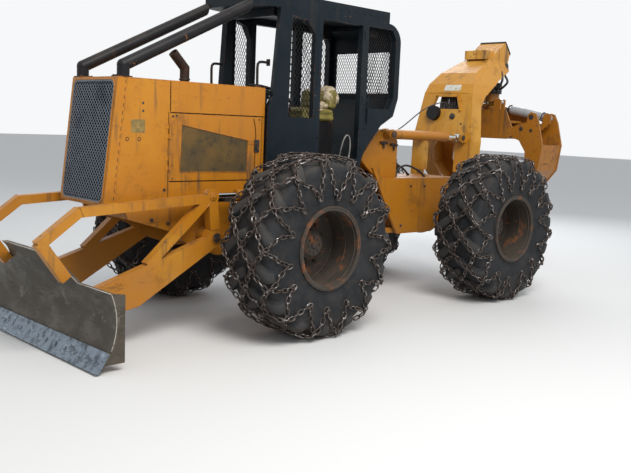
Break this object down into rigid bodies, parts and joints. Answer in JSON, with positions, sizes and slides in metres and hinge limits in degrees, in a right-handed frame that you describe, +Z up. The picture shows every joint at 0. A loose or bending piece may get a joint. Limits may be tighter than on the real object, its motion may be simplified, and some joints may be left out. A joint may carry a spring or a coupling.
{
  "type": "articulated grapple log skidder",
  "caption": "Articulated four-wheel log skidder with a front blade on push arms, an open guarded canopy, chained tyres and a rear arch that carries a grapple.",
  "frame": {"origin": "middle of the machine's footprint, on the ground", "axes": "+X forward towards the blade, +Y to the machine's left, +Z up"},
  "size_m": [6.628, 2.6766, 2.9605],
  "materials": {
    "yellow_paint": "satin",
    "cab_paint": "satin",
    "black_paint": "satin",
    "worn_steel": "matte",
    "edge_steel": "satin",
    "rusty_steel": "matte",
    "rim_paint": "matte",
    "chrome_rod": "gloss",
    "tyre": "matte",
    "vinyl": "satin",
    "silver_paint": "satin",
    "engine": "matte"
  },
  "bodies": {
    "front_frame": {"front_chassis": "yellow_paint", "front_axle": "yellow_paint", "engine_block": "engine", "hood": "yellow_paint", "grille": "black_paint", "cab_floor": "cab_paint", "cab_side_left": "cab_paint", "cab_side_right": "cab_paint", "cab_front": "cab_paint", "cab_rear": "cab_paint", "cab_roof": "cab_paint", "window_guards": "black_paint", "seat_cushion": "vinyl", "seat_back": "vinyl", "seat_base": "black_paint", "controls": "black_paint", "limb_risers": "black_paint", "exhaust": "rusty_steel", "work_lamps": "black_paint"},
    "engine_door_left": {"engine_door_left": "yellow_paint"},
    "engine_door_right": {"engine_door_right": "yellow_paint"},
    "blade_frame": {"blade": "worn_steel", "cutting_edge": "edge_steel", "push_frame": "yellow_paint"},
    "rear_frame": {"rear_chassis": "yellow_paint", "rear_axle": "yellow_paint"},
    "arch": {"arch": "yellow_paint", "arch_boss": "black_paint"},
    "grapple_hanger": {"grapple_hanger": "black_paint"},
    "grapple_head": {"grapple_head": "yellow_paint"},
    "wheel_front_left": {"tyre_front_left": "tyre", "chain_front_left": "worn_steel", "rim_front_left": "rim_paint"},
    "wheel_front_right": {"tyre_front_right": "tyre", "chain_front_right": "worn_steel", "rim_front_right": "rim_paint"},
    "wheel_rear_left": {"tyre_rear_left": "tyre", "chain_rear_left": "worn_steel", "rim_rear_left": "rim_paint"},
    "wheel_rear_right": {"tyre_rear_right": "tyre", "chain_rear_right": "worn_steel", "rim_rear_right": "rim_paint"},
    "lift_barrel_left": {"lift_barrel_left": "yellow_paint"},
    "lift_rod_left": {"lift_rod_left": "chrome_rod"},
    "arch_barrel_left": {"arch_barrel_left": "yellow_paint"},
    "arch_rod_left": {"arch_rod_left": "chrome_rod"},
    "steer_barrel_left": {"steer_barrel_left": "black_paint"},
    "steer_rod_left": {"steer_rod_left": "chrome_rod"},
    "tong_barrel_left": {"tong_barrel_left": "silver_paint"},
    "tong_rod_left": {"tong_rod_left": "chrome_rod"},
    "tong_left": {"tong_left": "yellow_paint"},
    "lift_barrel_right": {"lift_barrel_right": "yellow_paint"},
    "lift_rod_right": {"lift_rod_right": "chrome_rod"},
    "arch_barrel_right": {"arch_barrel_right": "yellow_paint"},
    "arch_rod_right": {"arch_rod_right": "chrome_rod"},
    "steer_barrel_right": {"steer_barrel_right": "black_paint"},
    "steer_rod_right": {"steer_rod_right": "chrome_rod"},
    "tong_barrel_right": {"tong_barrel_right": "silver_paint"},
    "tong_rod_right": {"tong_rod_right": "chrome_rod"},
    "tong_right": {"tong_right": "yellow_paint"}
  },
  "joints": [
    {"name": "wheel_front_left_spin", "type": "hinge", "parent": "front_frame", "child": "wheel_front_left", "pos_m": [1.06798, 1.04, 0.79165], "axis": [0, 1, 0], "continuous": true},
    {"name": "wheel_rear_left_spin", "type": "hinge", "parent": "rear_frame", "child": "wheel_rear_left", "pos_m": [-1.75202, 1.04, 0.79165], "axis": [0, 1, 0], "continuous": true},
    {"name": "engine_door_left_hinge", "type": "hinge", "parent": "front_frame", "child": "engine_door_left", "pos_m": [2.07098, 0.3675, 1.585], "axis": [0, 0, -1], "range_deg": [0, 20]},
    {"name": "wheel_front_right_spin", "type": "hinge", "parent": "front_frame", "child": "wheel_front_right", "pos_m": [1.06798, -1.04, 0.79165], "axis": [0, 1, 0], "continuous": true},
    {"name": "wheel_rear_right_spin", "type": "hinge", "parent": "rear_frame", "child": "wheel_rear_right", "pos_m": [-1.75202, -1.04, 0.79165], "axis": [0, 1, 0], "continuous": true},
    {"name": "engine_door_right_hinge", "type": "hinge", "parent": "front_frame", "child": "engine_door_right", "pos_m": [2.07098, -0.3675, 1.585], "axis": [0, 0, 1], "range_deg": [0, 20]},
    {"name": "steering", "type": "hinge", "parent": "front_frame", "child": "rear_frame", "pos_m": [-0.34202, 0, 0.93], "axis": [0, 0, 1], "range_deg": [-40, 40]},
    {"name": "blade_lift", "type": "hinge", "parent": "front_frame", "child": "blade_frame", "pos_m": [1.70498, 0, 0.83], "axis": [0, -1, 0], "range_deg": [-8, 28]},
    {"name": "lift_barrel_left_hinge", "type": "hinge", "parent": "front_frame", "child": "lift_barrel_left", "pos_m": [0.94798, 0.5, 1.185], "axis": [0, -1, 0], "range_deg": [-2.4, 1.04]},
    {"name": "lift_rod_left_slide", "type": "slide", "parent": "lift_barrel_left", "child": "lift_rod_left", "axis": [1, 0, 0], "range_m": [-0.17262, 0.05075]},
    {"name": "lift_barrel_right_hinge", "type": "hinge", "parent": "front_frame", "child": "lift_barrel_right", "pos_m": [0.94798, -0.5, 1.185], "axis": [0, -1, 0], "range_deg": [-2.4, 1.04]},
    {"name": "lift_rod_right_slide", "type": "slide", "parent": "lift_barrel_right", "child": "lift_rod_right", "axis": [1, 0, 0], "range_m": [-0.17262, 0.05075]},
    {"name": "arch_tilt", "type": "hinge", "parent": "rear_frame", "child": "arch", "pos_m": [-2.11202, 0, 1.05], "axis": [0, -1, 0], "range_deg": [0, 40]},
    {"name": "arch_barrel_left_hinge", "type": "hinge", "parent": "rear_frame", "child": "arch_barrel_left", "pos_m": [-0.75702, 0.308, 1.752], "axis": [0, -1, 0], "range_deg": [-0.5, 3.13]},
    {"name": "arch_rod_left_slide", "type": "slide", "parent": "arch_barrel_left", "child": "arch_rod_left", "axis": [-0.9999, 0, -0.0113], "range_m": [-0.002, 0.47504]},
    {"name": "arch_barrel_right_hinge", "type": "hinge", "parent": "rear_frame", "child": "arch_barrel_right", "pos_m": [-0.75702, -0.308, 1.752], "axis": [0, -1, 0], "range_deg": [-0.5, 3.13]},
    {"name": "arch_rod_right_slide", "type": "slide", "parent": "arch_barrel_right", "child": "arch_rod_right", "axis": [-0.9999, 0, -0.0113], "range_m": [-0.002, 0.47504]},
    {"name": "steer_barrel_left_hinge", "type": "hinge", "parent": "front_frame", "child": "steer_barrel_left", "pos_m": [-0.11202, 0.23, 0.93], "axis": [0, 0, 1], "range_deg": [-29.05, 29.05]},
    {"name": "steer_rod_left_slide", "type": "slide", "parent": "steer_barrel_left", "child": "steer_rod_left", "axis": [-0.9993, -0.0379, 0], "range_m": [-0.15163, 0.15163]},
    {"name": "steer_barrel_right_hinge", "type": "hinge", "parent": "front_frame", "child": "steer_barrel_right", "pos_m": [-0.11202, -0.23, 0.93], "axis": [0, 0, 1], "range_deg": [-29.05, 29.05]},
    {"name": "steer_rod_right_slide", "type": "slide", "parent": "steer_barrel_right", "child": "steer_rod_right", "axis": [-0.9993, 0.0379, 0], "range_m": [-0.15163, 0.15163]},
    {"name": "grapple_swing", "type": "hinge", "parent": "arch", "child": "grapple_hanger", "pos_m": [-3.05202, 0, 2.64], "axis": [0, -1, 0], "range_deg": [-40.5, 0.5]},
    {"name": "grapple_turn", "type": "hinge", "parent": "grapple_hanger", "child": "grapple_head", "pos_m": [-3.05202, 0, 2.3], "axis": [0, 0, 1], "range_deg": [-25, 25]},
    {"name": "tong_left_hinge", "type": "hinge", "parent": "grapple_head", "child": "tong_left", "pos_m": [-3.05202, 0.43, 1.82], "axis": [1, 0, 0], "range_deg": [0, 45]},
    {"name": "tong_barrel_left_hinge", "type": "hinge", "parent": "tong_left", "child": "tong_barrel_left", "pos_m": [-3.05202, 0.745, 2.015], "axis": [1, 0, 0], "range_deg": [-36.27, 0.5]},
    {"name": "tong_rod_left_slide", "type": "slide", "parent": "tong_barrel_left", "child": "tong_rod_left", "axis": [0, -0.985, 0.1724], "range_m": [-0.24729, 0.002]},
    {"name": "tong_right_hinge", "type": "hinge", "parent": "grapple_head", "child": "tong_right", "pos_m": [-3.05202, -0.43, 1.82], "axis": [-1, 0, 0], "range_deg": [0, 45]},
    {"name": "tong_barrel_right_hinge", "type": "hinge", "parent": "tong_right", "child": "tong_barrel_right", "pos_m": [-3.05202, -0.745, 2.015], "axis": [-1, 0, 0], "range_deg": [-36.27, 0.5]},
    {"name": "tong_rod_right_slide", "type": "slide", "parent": "tong_barrel_right", "child": "tong_rod_right", "axis": [0, 0.985, 0.1724], "range_m": [-0.24729, 0.002]}
  ],
  "couplings": [
    {"joint": "lift_barrel_left_hinge", "follows": "blade_lift", "ratio": -0.067882},
    {"joint": "lift_rod_left_slide", "follows": "blade_lift", "m_per_rad": -0.34914},
    {"joint": "lift_barrel_right_hinge", "follows": "blade_lift", "ratio": -0.067882},
    {"joint": "lift_rod_right_slide", "follows": "blade_lift", "m_per_rad": -0.34914},
    {"joint": "arch_barrel_left_hinge", "follows": "arch_tilt", "ratio": 0.065844},
    {"joint": "arch_rod_left_slide", "follows": "arch_tilt", "m_per_rad": 0.67758},
    {"joint": "arch_barrel_right_hinge", "follows": "arch_tilt", "ratio": 0.065844},
    {"joint": "arch_rod_right_slide", "follows": "arch_tilt", "m_per_rad": 0.67758},
    {"joint": "steer_barrel_left_hinge", "follows": "steering", "ratio": 0.71384},
    {"joint": "steer_rod_left_slide", "follows": "steering", "m_per_rad": 0.21433},
    {"joint": "steer_barrel_right_hinge", "follows": "steering", "ratio": 0.71384},
    {"joint": "steer_rod_right_slide", "follows": "steering", "m_per_rad": -0.21433},
    {"joint": "grapple_swing", "follows": "arch_tilt", "ratio": -1},
    {"joint": "tong_barrel_left_hinge", "follows": "tong_left_hinge", "ratio": -0.79492},
    {"joint": "tong_rod_left_slide", "follows": "tong_left_hinge", "m_per_rad": -0.31231},
    {"joint": "tong_barrel_right_hinge", "follows": "tong_right_hinge", "ratio": -0.79492},
    {"joint": "tong_rod_right_slide", "follows": "tong_right_hinge", "m_per_rad": -0.31231}
  ]
}
